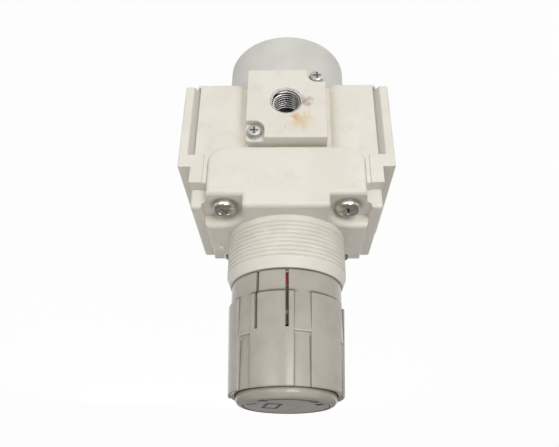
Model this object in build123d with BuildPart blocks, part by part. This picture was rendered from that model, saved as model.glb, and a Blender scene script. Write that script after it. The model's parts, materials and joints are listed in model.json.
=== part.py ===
from build123d import *
import os
from math import cos, radians, sin

os.makedirs("parts", exist_ok=True)

# Air pressure regulator with a left and a right pipe port, a gauge port plate on the
# front and a knob on top. Origin at the centre of the flat base, +Z up to the knob,
# -Y to the gauge side, +X to the outlet port. Millimetres.

# ---------------------------------------------------------------- clearances
running = 0.05              # radial, a shaft in its hole or a screw in its thread
seating = 0.1               # between fixed pieces that locate each other
slack = 0.3                 # beside soft and sliding pieces
past = 1.0                  # how far a cut runs past the surface

# ---------------------------------------------------------------- driving dimensions
# Bottom cap, which closes the body from below and guides the valve
cap_radius = 23.8
cap_height = 26.45
cap_edge_round = 1.0
spigot_radius = 15.0
spigot_height = 5.6
cap_floor = 9.0
cap_bore_radius = 11.0
guide_wall = 2.0
guide_height = 14.0
spanner_hole_radius = 2.0
spanner_hole_depth = 3.0
spanner_hole_spacing = 30.0
cap_ring_wire = 0.9         # radius

# Body
port_span = 75.0            # port face to port face
port_face_height = 35.55
port_face_depth = 50.8
flange_rise = 1.4           # port flanges' lower end above the body's
port_radius = 13.2          # wall at the root of a 3/4 taper pipe thread
port_depth = 17.0
core_width = 66.0
core_depth = 50.0
shoulder_height = 6.4       # body above the port flanges
lip_width = 3.0             # outer lip of each port flange
groove_width = 2.6          # slanted clamp groove beside the lip
groove_floor_width = 0.3
groove_depth = 2.2
groove_length = 30.55
ear_width = 4.4             # raised pads above the grooves, flush with the port flanges
ear_root = 1.2              # half the pads' depth, most of it in the body
cast_edge = 0.6             # rounding of the body's cast edges
channel_width = 41.8        # relieved band that the gauge pad stands in
channel_floor_width = 32.0
channel_depth = 2.0
pad_rise = 1.05             # gauge pad above the channel's floor
way_width = 16.0            # openings from the ports to the valve chambers
way_height = 6.5
passage_radius = 1.5
passage_rise = 6.0          # gauge passage above the seat web

# Gauge port plate
plate_width = 28.4
plate_height = 30.75
plate_thickness = 5.65
tongue_drop = 4.15          # how far the body's pad hangs below the body
tongue_thickness = 4.55     # of the pad where it hangs beside the bottom cap
plate_edge_rise = 1.2       # plate's lower edge above the tongue's end
gauge_rise = 15.75          # gauge port's axis above the tongue's end
plate_ear_thickness = 3.05  # lowered corners that hold the screws
plate_corner = 1.5
plate_edge = 0.4
gauge_port_radius = 5.12    # wall at the root of a 1/8 taper pipe thread
gauge_port_chamfer = 0.5
plate_spigot_radius = 7.5
plate_spigot_length = 5.5
plate_groove_depth = 1.2
ear_margin = 0.8            # lowered corner beside the screw's head
back_port_depth = 9.0
plug_length = 8.0
plug_socket = 4.76          # across flats
plug_socket_depth = 4.8

# Screws: small ones hold the gauge plate, large ones hold the bonnet
small_head_radius = 2.75
small_head_height = 2.0
small_shank_radius = 1.45
small_length = 6.5
small_hole_end = 0.5        # hole beyond the screw's tip
small_crown_radius = 1.6
small_inset = 3.0           # screw axis from the plate's side, radius of the lobe about it
small_spacing_z = 25.0
large_head_radius = 4.2
large_head_height = 2.7
large_crown_radius = 3.4
large_shank_radius = 1.95
large_length = 18.0
large_spacing_x = 42.2
large_spacing_y = 37.8
recess_turns = (8, 62, 38, 77)  # degrees, one for each large screw

# Valve and its seat
web_thickness = 3.2         # wall between the inlet and the outlet chamber
web_drop = 1.8              # the web's top below the port axis
chamber_radius = 12.5
seat_radius = 6.5
seat_ring_radius = 9.0
seat_lip = 0.8
seat_land = 1.2             # width of the lip's flat
seat_shoulder = 0.8
poppet_radius = 9.2
poppet_thickness = 4.9
seal_thickness = 1.2
seal_wall = 0.6             # poppet left standing inside and outside the seal
tail_radius = 3.0
tail_length = 17.5
tail_chamfer = 0.5
stem_radius = 2.0
stem_socket_depth = 2.5
stem_cone = 0.8             # chamfer that closes the relief hole
stem_ring_wire = 0.85       # radius
valve_spring_radius = 6.6
valve_spring_wire = 0.45    # radius
valve_spring_turns = 6

# Diaphragm and what clamps it
deck_thickness = 5.0
diaphragm_chamber_radius = 18.5
diaphragm_chamber_depth = 6.3
diaphragm_radius = 21.5
rim_thickness = 1.5
sheet_thickness = 1.2
roll_depth = 2.4            # depth of the diaphragm's rolled ring
lower_plate_radius = 13.4
lower_plate_thickness = 1.5
upper_plate_radius = 14.6
upper_plate_thickness = 2.0
locator_width = 1.0         # rim that centres the main spring
locator_height = 1.5
feedback_x = 7.5            # hole that lets outlet pressure under the diaphragm
hub_radius = 3.0
hub_rise = 1.0              # hub above its nut
relief_radius = 0.9
diaphragm_nut_flats = 9.0
diaphragm_nut_height = 3.0

# Bonnet
flange_width = 65.4
flange_front = 20.7         # from the axis
flange_back = 18.2
flange_thickness = 7.1
rib_width = 3.9             # flange's side rib, outside the screw notches
cast_round = 1.0            # rounding of the flange's edges
rib_root = 0.9              # rounding between the ribs and the notches' floor
block_round = 1.5           # rounding of the block's and the skirts' edges
block_height = 9.8
block_depth = 53.0
block_side_width = 57.0     # at the screw notches' inner wall
notch_depth = 4.7
notch_side_gap = 2.2        # from the screw's head to the notch's inner wall
notch_back_gap = 2.7        # from the screw's head to the notch's back wall
notch_corner = 9.0
flange_corner = 0.8
skirt_width = 54.0
back_skirt_width = 59.4
skirt_drop = 14.4
skirt_thickness = 2.2
skirt_corner = 6.0
neck_radius = 21.0          # panel thread, 42 mm
neck_length = 18.7
thread_pitch = 1.5
thread_turns = 9
thread_start = 2.6
thread_depth = 0.6
thread_gap = 0.85           # width of one thread groove at the surface
lip_length = 3.3
lip_radius = 19.7
bonnet_bore_radius = 17.6
bonnet_bore_height = 22.0
tube_radius = 16.5          # inner tube, inside the knob
tube_length = 18.0
tube_bore_radius = 14.2
tube_end_wall = 3.3
key_count = 4
key_width = 4.0
key_height = 0.8

# Adjusting screw, its nut and the main spring
screw_radius = 4.0
screw_pitch = 1.25
screw_turns = 5
screw_tip = 4.0             # thread left below the lowered nut
screw_chamfer = 0.8
collar_radius = 7.5
collar_thickness = 2.0
washer_thickness = 1.0
washer_overhang = 0.5
hex_flats = 6.8
hex_length = 12.6
hex_chamfer = 0.5
hex_end_gap = 1.0
nut_thickness = 4.0
nut_hub_radius = 7.0
nut_hub_height = 5.0
nut_clearance = 1.5         # nut below the collar when backed off
main_spring_radius = 11.2
main_spring_wire = 1.3      # radius
main_spring_turns = 6.5

# Indicator ring
ring_height = 4.2
ring_rise = 0.6             # above the neck's end
ring_thickness = 0.6
ring_proud = 0.3

# Knob
knob_gap = 0.4
knob_height = 39.3
knob_bore_radius = 17.2
knob_collar_radius = 19.1
knob_collar_height = 7.5
grip_radius = 19.9          # lobes where they start
grip_end_radius = 18.75     # lobes at the top
grip_end = 36.75            # end of the lobes' sides above the knob's lower end
end_dish = 0.5              # the lobes' ends slope down to the shoulder
end_line_width = 0.4        # thin groove round the shoulder's foot
end_line_depth = 0.4
shoulder_radius = 16.35
end_round = 1.85
lobe_edge = 0.3             # rounding of the lobes' edges
flute_count = 6
flute_angle = 16.6
first_flute = 254.0         # degrees from +X
shallow_flute_top = 20.1    # above the knob's lower end
deep_flute_radius = 18.0
finger_count = 2
finger_angle = 30.0         # between the two slits of a finger
first_finger = 284.0
slit_width = 1.0
slit_height = 19.1
knob_end_wall = 4.8
knob_hub_radius = 7.5
knob_hub_gap = 0.7          # hub above the inner tube
hex_clearance = 0.1
rib_thickness = 1.2
rib_height = 11.0
knob_wall = 1.4             # inside the deep flutes
cap_disc_radius = 13.8
cap_disc_thickness = 2.0
cap_disc_gap = 0.25
cap_disc_edge = 0.3

# ---------------------------------------------------------------- levels and places
body_bottom = cap_height
flange_bottom = body_bottom + flange_rise
port_axis = flange_bottom + port_face_height / 2
flange_top = flange_bottom + port_face_height
body_top = flange_top + shoulder_height

channel_y = core_depth / 2 - channel_depth
pad_y = channel_y + pad_rise
tongue_y = pad_y - tongue_thickness
tongue_bottom = body_bottom - tongue_drop
plate_lower_edge = tongue_bottom + plate_edge_rise
gauge_axis = tongue_bottom + gauge_rise
plate_y = pad_y + plate_thickness
screw_corner_x = plate_width / 2 - small_inset
screw_corner_z = small_spacing_z / 2

web_top = port_axis - web_drop
web_bottom = web_top - web_thickness
rim_seat = body_top - rim_thickness
deck_top = rim_seat - diaphragm_chamber_depth
deck_bottom = deck_top - deck_thickness

seat_face = web_bottom - seat_lip
seal_top = seat_face - running
poppet_top = seal_top - seal_thickness
poppet_bottom = seal_top - poppet_thickness
tail_bottom = poppet_bottom - tail_length

lower_plate_bottom = rim_seat - lower_plate_thickness
sheet_top = rim_seat + sheet_thickness
upper_plate_top = sheet_top + upper_plate_thickness
hub_top = upper_plate_top + diaphragm_nut_height + hub_rise

block_top = body_top + block_height
notch_floor = block_top - notch_depth
notch_wall_x = large_spacing_x / 2 - large_head_radius - notch_side_gap
notch_wall_y = large_spacing_y / 2 - large_head_radius - notch_back_gap
skirt_bottom = body_top - skirt_drop
skirt_inner_y = block_depth / 2 - skirt_thickness
neck_top = block_top + neck_length
tube_top = neck_top + tube_length
tube_ceiling = tube_top - tube_end_wall

collar_top = tube_ceiling - washer_thickness - running
collar_bottom = collar_top - collar_thickness
nut_top = collar_bottom - nut_clearance
nut_seat = nut_top - nut_thickness
screw_bottom = nut_seat - nut_hub_height - screw_turns * screw_pitch - screw_tip

knob_bottom = neck_top + knob_gap
knob_top = knob_bottom + knob_height
knob_ceiling = knob_top - knob_end_wall
hub_bottom = tube_top + knob_hub_gap

large_screws = [(sx * large_spacing_x / 2, sy * large_spacing_y / 2) for sx in (-1, 1) for sy in (-1, 1)]
small_screws = [(s * screw_corner_x, gauge_axis + s * screw_corner_z) for s in (-1, 1)]


# ---------------------------------------------------------------- shared profiles
def turned(*corners):
    """A closed outline of (radius, height) corners, ready to be revolved about Z."""
    with BuildSketch(Plane.XZ) as section:
        with BuildLine():
            Polyline(*corners, close=True)
        make_face()
    return section.sketch


def o_ring(mean_radius, wire_radius):
    """A closed rubber ring about the local Z axis."""
    with BuildPart() as ring:
        Torus(mean_radius, wire_radius)
    return ring.part


def coil_spring(mean_radius, wire_radius, turns, height):
    """A wire coil that stands on the local XY plane, its axis on Z."""
    rise = height - 2 * wire_radius
    with BuildPart() as coil:
        with BuildLine():
            path = Helix(rise / turns, rise, mean_radius, center=(0, 0, wire_radius))
        with BuildSketch(Plane(origin=path @ 0, z_dir=path % 0)):
            Circle(wire_radius)
        sweep(is_frenet=True)
    return coil.part


def pan_screw(head_radius, head_height, crown, shank_radius, length):
    """A cross-recessed pan-head screw: head above the local XY plane, shank below."""
    edge_height = 0.35 * head_height
    recess_span = 1.1 * head_radius
    recess_width = 0.26 * head_radius
    recess_depth = 0.6 * head_height
    recess_taper = 14
    with BuildPart() as screw:
        with BuildSketch(Plane.XZ):
            with BuildLine():
                Polyline((crown, head_height), (0, head_height), (0, -length), (shank_radius, -length))
                Polyline((shank_radius, -length), (shank_radius, 0), (head_radius, 0),
                         (head_radius, edge_height))
                TangentArc((head_radius, edge_height), (crown, head_height), tangent=(0, 1))
            make_face()
        revolve(axis=Axis.Z)
        with BuildSketch(Plane.XY.offset(head_height)):
            Rectangle(recess_span, recess_width)
            Rectangle(recess_width, recess_span)
        extrude(amount=-recess_depth, taper=recess_taper, mode=Mode.SUBTRACT)
    return screw.part


def front(distance):
    """The plane that faces -Y at the given distance from the axis; its local y is Z."""
    return Plane.XZ.offset(distance)


def skirt_face(width, grow):
    """A bonnet skirt's outline on a front plane, grown by a clearance."""
    with BuildSketch() as face:
        with Locations((0, skirt_bottom - grow)):
            Rectangle(width + 2 * grow, skirt_drop + grow, align=(Align.CENTER, Align.MIN))
        fillet(face.vertices().group_by(Axis.Y)[0], skirt_corner + grow)
    return face.sketch


# ---------------------------------------------------------------- bottom cap
guide_bore = tail_radius + running
with BuildPart() as bottom_cap:
    revolve(turned((0, 0), (cap_radius, 0), (cap_radius, cap_height), (spigot_radius, cap_height),
                   (spigot_radius, cap_height + spigot_height), (0, cap_height + spigot_height)),
            axis=Axis.Z)
    fillet(bottom_cap.edges().filter_by(GeomType.CIRCLE).group_by(Axis.Z)[0], cap_edge_round)
    # spring chamber round the valve guide
    revolve(turned((guide_bore + guide_wall, cap_floor), (cap_bore_radius, cap_floor),
                   (cap_bore_radius, cap_height + spigot_height), (0, cap_height + spigot_height),
                   (0, cap_floor + guide_height), (guide_bore + guide_wall, cap_floor + guide_height)),
            axis=Axis.Z, mode=Mode.SUBTRACT)
    with Locations((0, 0, cap_floor)):
        Cylinder(guide_bore, guide_height, align=(Align.CENTER, Align.CENTER, Align.MIN),
                 mode=Mode.SUBTRACT)
    # groove for the seal that closes the body
    cap_groove_z = cap_height + spigot_height / 2
    cap_groove_radius = spigot_radius - 2 * cap_ring_wire
    revolve(turned((cap_groove_radius, cap_groove_z - cap_ring_wire - seating),
                   (cap_radius, cap_groove_z - cap_ring_wire - seating),
                   (cap_radius, cap_groove_z + cap_ring_wire + seating),
                   (cap_groove_radius, cap_groove_z + cap_ring_wire + seating)),
            axis=Axis.Z, mode=Mode.SUBTRACT)
    # rebate for the body's tongue
    with BuildSketch(front(tongue_y - seating)):
        with Locations((0, tongue_bottom - seating)):
            Rectangle(plate_width + 2 * seating, cap_height, align=(Align.CENTER, Align.MIN))
    extrude(amount=cap_radius, mode=Mode.SUBTRACT)
    # two holes for a pin spanner in the base
    with Locations((-spanner_hole_spacing / 2, 0, 0), (spanner_hole_spacing / 2, 0, 0)):
        Cylinder(spanner_hole_radius, spanner_hole_depth,
                 align=(Align.CENTER, Align.CENTER, Align.MIN), mode=Mode.SUBTRACT)
bottom_cap.part.label = "bottom_cap"
export_step(bottom_cap.part, "parts/bottom_cap.step")

with BuildPart() as bottom_cap_o_ring:
    with Locations((0, 0, cap_groove_z)):
        add(o_ring(cap_groove_radius + cap_ring_wire + running, cap_ring_wire))
bottom_cap_o_ring.part.label = "bottom_cap_o_ring"
export_step(bottom_cap_o_ring.part, "parts/bottom_cap_o_ring.step")

# ---------------------------------------------------------------- body
passage_z = web_top + passage_rise
plate_pocket_y = pad_y - plate_spigot_length - seating
passage_y = plate_pocket_y - passage_radius / 2
inner_port_x = port_span / 2 - port_depth
lip_inner_x = port_span / 2 - lip_width

with BuildPart() as body:
    # core, and a flange round each port
    with BuildSketch(Plane.XY.offset(body_bottom)):
        Rectangle(core_width, core_depth)
    extrude(amount=body_top - body_bottom)
    fillet(body.edges(), cast_edge)
    with BuildSketch(Plane.YZ.offset(-port_span / 2)):
        with Locations((0, port_axis)):
            Rectangle(port_face_depth, port_face_height)
    extrude(amount=(port_span - core_width) / 2)
    with BuildSketch(Plane.YZ.offset(core_width / 2)):
        with Locations((0, port_axis)):
            Rectangle(port_face_depth, port_face_height)
    extrude(amount=(port_span - core_width) / 2)
    outer_faces = body.faces().filter_by(Axis.X)
    fillet(outer_faces.sort_by(Axis.X)[0].edges() + outer_faces.sort_by(Axis.X)[-1].edges(), cast_edge)

    # slanted clamp grooves beside the lips, front and back
    with BuildSketch(Plane.XY.offset(flange_bottom)):
        with BuildLine():
            Polyline((lip_inner_x - groove_width, port_face_depth / 2 + past),
                     (lip_inner_x - groove_width, core_depth / 2 - groove_depth),
                     (lip_inner_x - groove_width + groove_floor_width, core_depth / 2 - groove_depth),
                     (lip_inner_x, port_face_depth / 2),
                     (lip_inner_x, port_face_depth / 2 + past), close=True)
        make_face()
        mirror(about=Plane.XZ)
        mirror(about=Plane.YZ)
    extrude(amount=groove_length, mode=Mode.SUBTRACT)
    # raised pads above the grooves
    with BuildSketch(Plane.XY.offset(flange_bottom + groove_length)):
        with GridLocations(core_width - ear_width, port_face_depth - 2 * ear_root, 2, 2):
            Rectangle(ear_width, 2 * ear_root)
    extrude(amount=body_top - flange_bottom - groove_length)

    # relieved band on the front and the back, with the gauge pad standing in it
    with BuildSketch(Plane.XY.offset(body_bottom)):
        with BuildLine():
            Polyline((0, pad_y), (plate_width / 2, pad_y), (plate_width / 2, channel_y),
                     (channel_floor_width / 2, channel_y))
            TangentArc((channel_width / 2, core_depth / 2), (channel_floor_width / 2, channel_y),
                       tangent=(-1, 0))
            Polyline((channel_width / 2, core_depth / 2), (channel_width / 2, core_depth / 2 + past),
                     (0, core_depth / 2 + past), (0, pad_y))
        make_face()
        mirror(about=Plane.YZ)
        mirror(about=Plane.XZ)
    extrude(amount=skirt_bottom - seating - body_bottom, mode=Mode.SUBTRACT)

    # tongue of the gauge pad, hanging beside the bottom cap
    with BuildSketch(front(tongue_y)):
        with Locations((0, tongue_bottom)):
            Rectangle(plate_width, tongue_drop, align=(Align.CENTER, Align.MIN))
    extrude(amount=tongue_thickness)

    # pockets that the bonnet's skirts hang in
    for sign, width in ((1, skirt_width), (-1, back_skirt_width)):
        with BuildSketch(front(sign * (skirt_inner_y - seating))):
            add(skirt_face(width, seating))
        extrude(amount=sign * core_depth, mode=Mode.SUBTRACT)

    # pipe ports
    with BuildSketch(Plane.YZ.offset(-port_span / 2)):
        with Locations((0, port_axis)):
            Circle(port_radius)
    extrude(amount=port_depth, mode=Mode.SUBTRACT)
    with BuildSketch(Plane.YZ.offset(port_span / 2)):
        with Locations((0, port_axis)):
            Circle(port_radius)
    extrude(amount=-port_depth, mode=Mode.SUBTRACT)

    # chambers below and above the seat web, and the diaphragm's chamber
    revolve(turned((0, body_bottom), (spigot_radius + seating, body_bottom),
                   (spigot_radius + seating, cap_height + spigot_height + seating),
                   (chamber_radius, cap_height + spigot_height + seating),
                   (chamber_radius, web_bottom), (0, web_bottom)),
            axis=Axis.Z, mode=Mode.SUBTRACT)
    revolve(turned((0, web_bottom), (seat_ring_radius + seating, web_bottom),
                   (seat_ring_radius + seating, web_top), (chamber_radius, web_top),
                   (chamber_radius, deck_bottom), (0, deck_bottom)),
            axis=Axis.Z, mode=Mode.SUBTRACT)
    revolve(turned((0, deck_top), (diaphragm_chamber_radius, deck_top),
                   (diaphragm_chamber_radius, rim_seat), (diaphragm_radius + slack, rim_seat),
                   (diaphragm_radius + slack, body_top), (0, body_top)),
            axis=Axis.Z, mode=Mode.SUBTRACT)
    # inlet way below the web, outlet way above it
    with Locations((-inner_port_x / 2 - past, 0, web_bottom)):
        Box(inner_port_x + 2 * past, way_width, way_height, align=(Align.CENTER, Align.CENTER, Align.MAX),
            mode=Mode.SUBTRACT)
    with Locations((inner_port_x / 2 + past, 0, web_top)):
        Box(inner_port_x + 2 * past, way_width, way_height, align=(Align.CENTER, Align.CENTER, Align.MIN),
            mode=Mode.SUBTRACT)

    # stem bore with its seal recess, and the feedback hole, through the deck
    stem_recess_radius = stem_radius + 2 * (stem_ring_wire + running)
    with Locations((0, 0, deck_bottom)):
        Cylinder(stem_radius + running, deck_thickness,
                 align=(Align.CENTER, Align.CENTER, Align.MIN), mode=Mode.SUBTRACT)
    with Locations((0, 0, deck_top)):
        Cylinder(stem_recess_radius, 2 * (stem_ring_wire + running),
                 align=(Align.CENTER, Align.CENTER, Align.MAX), mode=Mode.SUBTRACT)
    with Locations((feedback_x, 0, deck_bottom)):
        Cylinder(relief_radius, deck_thickness, align=(Align.CENTER, Align.CENTER, Align.MIN),
                 mode=Mode.SUBTRACT)

    # pocket and passages from the outlet chamber to the gauge plate
    with BuildSketch(front(plate_pocket_y)):
        with Locations((0, gauge_axis)):
            Circle(plate_spigot_radius + seating)
    extrude(amount=core_depth, mode=Mode.SUBTRACT)
    with Locations((0, -passage_y, gauge_axis)):
        Cylinder(passage_radius, passage_z - gauge_axis,
                 align=(Align.CENTER, Align.CENTER, Align.MIN), mode=Mode.SUBTRACT)
    with BuildSketch(front(0)):
        with Locations((0, passage_z)):
            Circle(passage_radius)
    extrude(amount=passage_y, mode=Mode.SUBTRACT)
    with BuildSketch(front(pad_y + plate_ear_thickness - small_length - small_hole_end)):
        with Locations(*small_screws):
            Circle(small_shank_radius + running)
    extrude(amount=core_depth, mode=Mode.SUBTRACT)

    # second gauge port on the back
    with BuildSketch(front(-(pad_y - back_port_depth))):
        with Locations((0, port_axis)):
            Circle(gauge_port_radius)
    extrude(amount=-core_depth, mode=Mode.SUBTRACT)
    with BuildSketch(front(0)):
        with Locations((0, port_axis)):
            Circle(passage_radius)
    extrude(amount=-(pad_y - back_port_depth), mode=Mode.SUBTRACT)

    # threaded holes for the bonnet screws
    with BuildSketch(Plane.XY.offset(body_top)):
        with Locations(*large_screws):
            Circle(large_shank_radius + running)
    extrude(amount=notch_floor - body_top - large_length - past, mode=Mode.SUBTRACT)
body.part.label = "body"
export_step(body.part, "parts/body.step")

# ---------------------------------------------------------------- valve seat and valve
with BuildPart() as valve_seat:
    revolve(turned((seat_radius, seat_face), (seat_radius + seat_land, seat_face),
                   (seat_ring_radius - seat_shoulder, web_bottom), (seat_ring_radius, web_bottom),
                   (seat_ring_radius, web_top), (seat_radius, web_top)), axis=Axis.Z)
valve_seat.part.label = "valve_seat"
export_step(valve_seat.part, "parts/valve_seat.step")

seal_inner = tail_radius + seal_wall
seal_outer = poppet_radius - seal_wall
with BuildPart() as valve_poppet:
    revolve(turned((0, tail_bottom), (tail_radius, tail_bottom), (tail_radius, poppet_bottom),
                   (poppet_radius, poppet_bottom), (poppet_radius, seal_top),
                   (seal_outer, seal_top), (seal_outer, poppet_top),
                   (seal_inner, poppet_top), (seal_inner, seal_top), (0, seal_top)),
            axis=Axis.Z)
    chamfer(valve_poppet.edges().filter_by(GeomType.CIRCLE).sort_by(Axis.Z)[0], tail_chamfer)
    with Locations((0, 0, seal_top)):
        Cylinder(stem_radius + running, stem_socket_depth + seating,
                 align=(Align.CENTER, Align.CENTER, Align.MAX), mode=Mode.SUBTRACT)
valve_poppet.part.label = "valve_poppet"
export_step(valve_poppet.part, "parts/valve_poppet.step")

with BuildPart() as valve_seal:
    revolve(turned((seal_inner + running, poppet_top), (seal_outer - running, poppet_top),
                   (seal_outer - running, seal_top), (seal_inner + running, seal_top)), axis=Axis.Z)
valve_seal.part.label = "valve_seal"
export_step(valve_seal.part, "parts/valve_seal.step")

with BuildPart() as valve_stem:
    with Locations((0, 0, seal_top - stem_socket_depth)):
        Cylinder(stem_radius, lower_plate_bottom - seal_top + stem_socket_depth,
                 align=(Align.CENTER, Align.CENTER, Align.MIN))
    chamfer(valve_stem.edges().filter_by(GeomType.CIRCLE).sort_by(Axis.Z)[-1], stem_cone)
valve_stem.part.label = "valve_stem"
export_step(valve_stem.part, "parts/valve_stem.step")

with BuildPart() as valve_spring:
    with Locations((0, 0, cap_floor)):
        add(coil_spring(valve_spring_radius, valve_spring_wire, valve_spring_turns,
                        poppet_bottom - cap_floor))
valve_spring.part.label = "valve_spring"
export_step(valve_spring.part, "parts/valve_spring.step")

with BuildPart() as stem_o_ring:
    with Locations((0, 0, deck_top - stem_ring_wire - running)):
        add(o_ring(stem_radius + running + stem_ring_wire, stem_ring_wire))
stem_o_ring.part.label = "stem_o_ring"
export_step(stem_o_ring.part, "parts/stem_o_ring.step")

# ---------------------------------------------------------------- diaphragm and its plates
roll_inner = upper_plate_radius + slack
roll_outer = bonnet_bore_radius
with BuildPart() as diaphragm:
    revolve(turned((hub_radius + running, rim_seat), (roll_inner, rim_seat),
                   (roll_inner + sheet_thickness / 2, rim_seat - roll_depth),
                   (roll_outer - sheet_thickness / 2, rim_seat - roll_depth), (roll_outer, rim_seat),
                   (diaphragm_radius, rim_seat), (diaphragm_radius, body_top), (roll_outer, body_top),
                   (roll_outer - sheet_thickness, rim_seat - roll_depth + sheet_thickness),
                   (roll_inner + sheet_thickness, rim_seat - roll_depth + sheet_thickness),
                   (roll_inner, sheet_top), (hub_radius + running, sheet_top)), axis=Axis.Z)
diaphragm.part.label = "diaphragm"
export_step(diaphragm.part, "parts/diaphragm.step")

with BuildPart() as diaphragm_lower_plate:
    revolve(turned((relief_radius, lower_plate_bottom), (lower_plate_radius, lower_plate_bottom),
                   (lower_plate_radius, rim_seat), (hub_radius, rim_seat), (hub_radius, hub_top),
                   (relief_radius, hub_top)), axis=Axis.Z)
diaphragm_lower_plate.part.label = "diaphragm_lower_plate"
export_step(diaphragm_lower_plate.part, "parts/diaphragm_lower_plate.step")

locator_inner = upper_plate_radius - locator_width
with BuildPart() as diaphragm_upper_plate:
    revolve(turned((hub_radius + running, sheet_top), (upper_plate_radius, sheet_top),
                   (upper_plate_radius, upper_plate_top + locator_height),
                   (locator_inner, upper_plate_top + locator_height),
                   (locator_inner, upper_plate_top), (hub_radius + running, upper_plate_top)),
            axis=Axis.Z)
diaphragm_upper_plate.part.label = "diaphragm_upper_plate"
export_step(diaphragm_upper_plate.part, "parts/diaphragm_upper_plate.step")

with BuildPart() as diaphragm_nut:
    with BuildSketch(Plane.XY.offset(upper_plate_top)):
        RegularPolygon(diaphragm_nut_flats / 2, 6, major_radius=False)
        Circle(hub_radius + running, mode=Mode.SUBTRACT)
    extrude(amount=diaphragm_nut_height)
diaphragm_nut.part.label = "diaphragm_nut"
export_step(diaphragm_nut.part, "parts/diaphragm_nut.step")

# ---------------------------------------------------------------- bonnet
key_slot_radius = tube_bore_radius + key_height
bore_end = body_top + bonnet_bore_height
ring_bottom = neck_top + ring_rise
ring_inner = tube_radius + ring_proud - ring_thickness


def notch_section(outer_x):
    """The four open screw notches in plan, out to a given half width."""
    round_x = notch_wall_x + notch_corner
    round_y = notch_wall_y + notch_corner
    with BuildSketch() as section:
        with BuildLine():
            Polyline((notch_wall_x, block_depth), (notch_wall_x, round_y))
            RadiusArc((notch_wall_x, round_y), (round_x, notch_wall_y), -notch_corner)
            Polyline((round_x, notch_wall_y), (outer_x, notch_wall_y),
                     (outer_x, block_depth), (notch_wall_x, block_depth))
        make_face()
        mirror(about=Plane.XZ)
        mirror(about=Plane.YZ)
    return section.sketch


def bonnet_block():
    """The notched block with a skirt at the front and the back, its edges rounded."""
    with BuildPart() as block:
        with BuildSketch(Plane.XY.offset(body_top)):
            with BuildLine():
                Polyline((0, -block_depth / 2), (skirt_width / 2, -block_depth / 2),
                         (skirt_width / 2, -skirt_inner_y), (block_side_width / 2, -notch_wall_y),
                         (block_side_width / 2, notch_wall_y), (back_skirt_width / 2, skirt_inner_y),
                         (back_skirt_width / 2, block_depth / 2), (0, block_depth / 2))
                mirror(about=Plane.YZ)
            make_face()
        extrude(amount=block_height)
        for sign, width in ((1, skirt_width), (-1, back_skirt_width)):
            with BuildSketch(front(sign * skirt_inner_y)):
                add(skirt_face(width, 0))
            extrude(amount=sign * skirt_thickness)
        with BuildSketch(Plane.XY.offset(notch_floor)):
            add(notch_section(block_side_width))
        extrude(amount=block_height, mode=Mode.SUBTRACT)
        block_faces = block.faces()
        rounded = []
        for face in (block_faces.sort_by(Axis.Z)[-1], block_faces.sort_by(Axis.Y)[0],
                     block_faces.sort_by(Axis.Y)[-1]):
            rounded += [edge for edge in face.edges() if not any(edge.is_same(other) for other in rounded)]
        fillet(rounded, block_round)
    return block.part


with BuildPart() as bonnet:
    # flange on the body, its side ribs standing outside the screw notches
    with BuildSketch(Plane.XY.offset(body_top)):
        with Locations((0, (flange_back - flange_front) / 2)):
            RectangleRounded(flange_width, flange_front + flange_back, flange_corner)
    extrude(amount=flange_thickness)
    with BuildSketch(Plane.XY.offset(notch_floor)):
        add(notch_section(flange_width / 2 - rib_width))
    extrude(amount=block_height, mode=Mode.SUBTRACT)
    fillet(bonnet.faces().sort_by(Axis.Z)[-1].edges(), cast_round)
    rib_x = flange_width / 2 - rib_width
    floor_edges = bonnet.edges().filter_by(Axis.Y).filter_by_position(Axis.Z, notch_floor, notch_floor)
    fillet([edge for edge in floor_edges if abs(abs(edge.center().X) - rib_x) < running], rib_root)
    add(bonnet_block())
    # threaded neck and the tube that stands inside the knob
    revolve(turned((0, body_top), (neck_radius, body_top), (neck_radius, neck_top - lip_length),
                   (lip_radius, neck_top), (tube_radius, neck_top), (tube_radius, tube_top),
                   (0, tube_top)), axis=Axis.Z)
    for turn in range(thread_turns):
        groove_z = block_top + thread_start + turn * thread_pitch
        revolve(turned((neck_radius + past, groove_z - thread_gap / 2),
                       (neck_radius, groove_z - thread_gap / 2), (neck_radius - thread_depth, groove_z),
                       (neck_radius, groove_z + thread_gap / 2),
                       (neck_radius + past, groove_z + thread_gap / 2)), axis=Axis.Z, mode=Mode.SUBTRACT)
    # bore for the diaphragm plate and the main spring
    revolve(turned((0, body_top), (bonnet_bore_radius, body_top), (bonnet_bore_radius, bore_end),
                   (tube_bore_radius, bore_end + bonnet_bore_radius - tube_bore_radius),
                   (tube_bore_radius, tube_ceiling), (0, tube_ceiling)), axis=Axis.Z, mode=Mode.SUBTRACT)
    with Locations((0, 0, tube_ceiling)):
        Cylinder(screw_radius + running, tube_end_wall, align=(Align.CENTER, Align.CENTER, Align.MIN),
                 mode=Mode.SUBTRACT)
    with BuildSketch(Plane.XY.offset(bore_end)):
        with PolarLocations(0, key_count):
            Rectangle(key_slot_radius, key_width + 2 * seating, align=(Align.MIN, Align.CENTER))
    extrude(amount=tube_ceiling - bore_end, mode=Mode.SUBTRACT)
    # recess for the indicator ring
    revolve(turned((ring_inner, ring_bottom), (tube_radius + past, ring_bottom),
                   (tube_radius + past, ring_bottom + ring_height), (ring_inner, ring_bottom + ring_height)),
            axis=Axis.Z, mode=Mode.SUBTRACT)
    # screw holes
    with BuildSketch(Plane.XY.offset(body_top)):
        with Locations(*large_screws):
            Circle(large_shank_radius + slack)
    extrude(amount=block_height, mode=Mode.SUBTRACT)
bonnet.part.label = "bonnet"
export_step(bonnet.part, "parts/bonnet.step")

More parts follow.
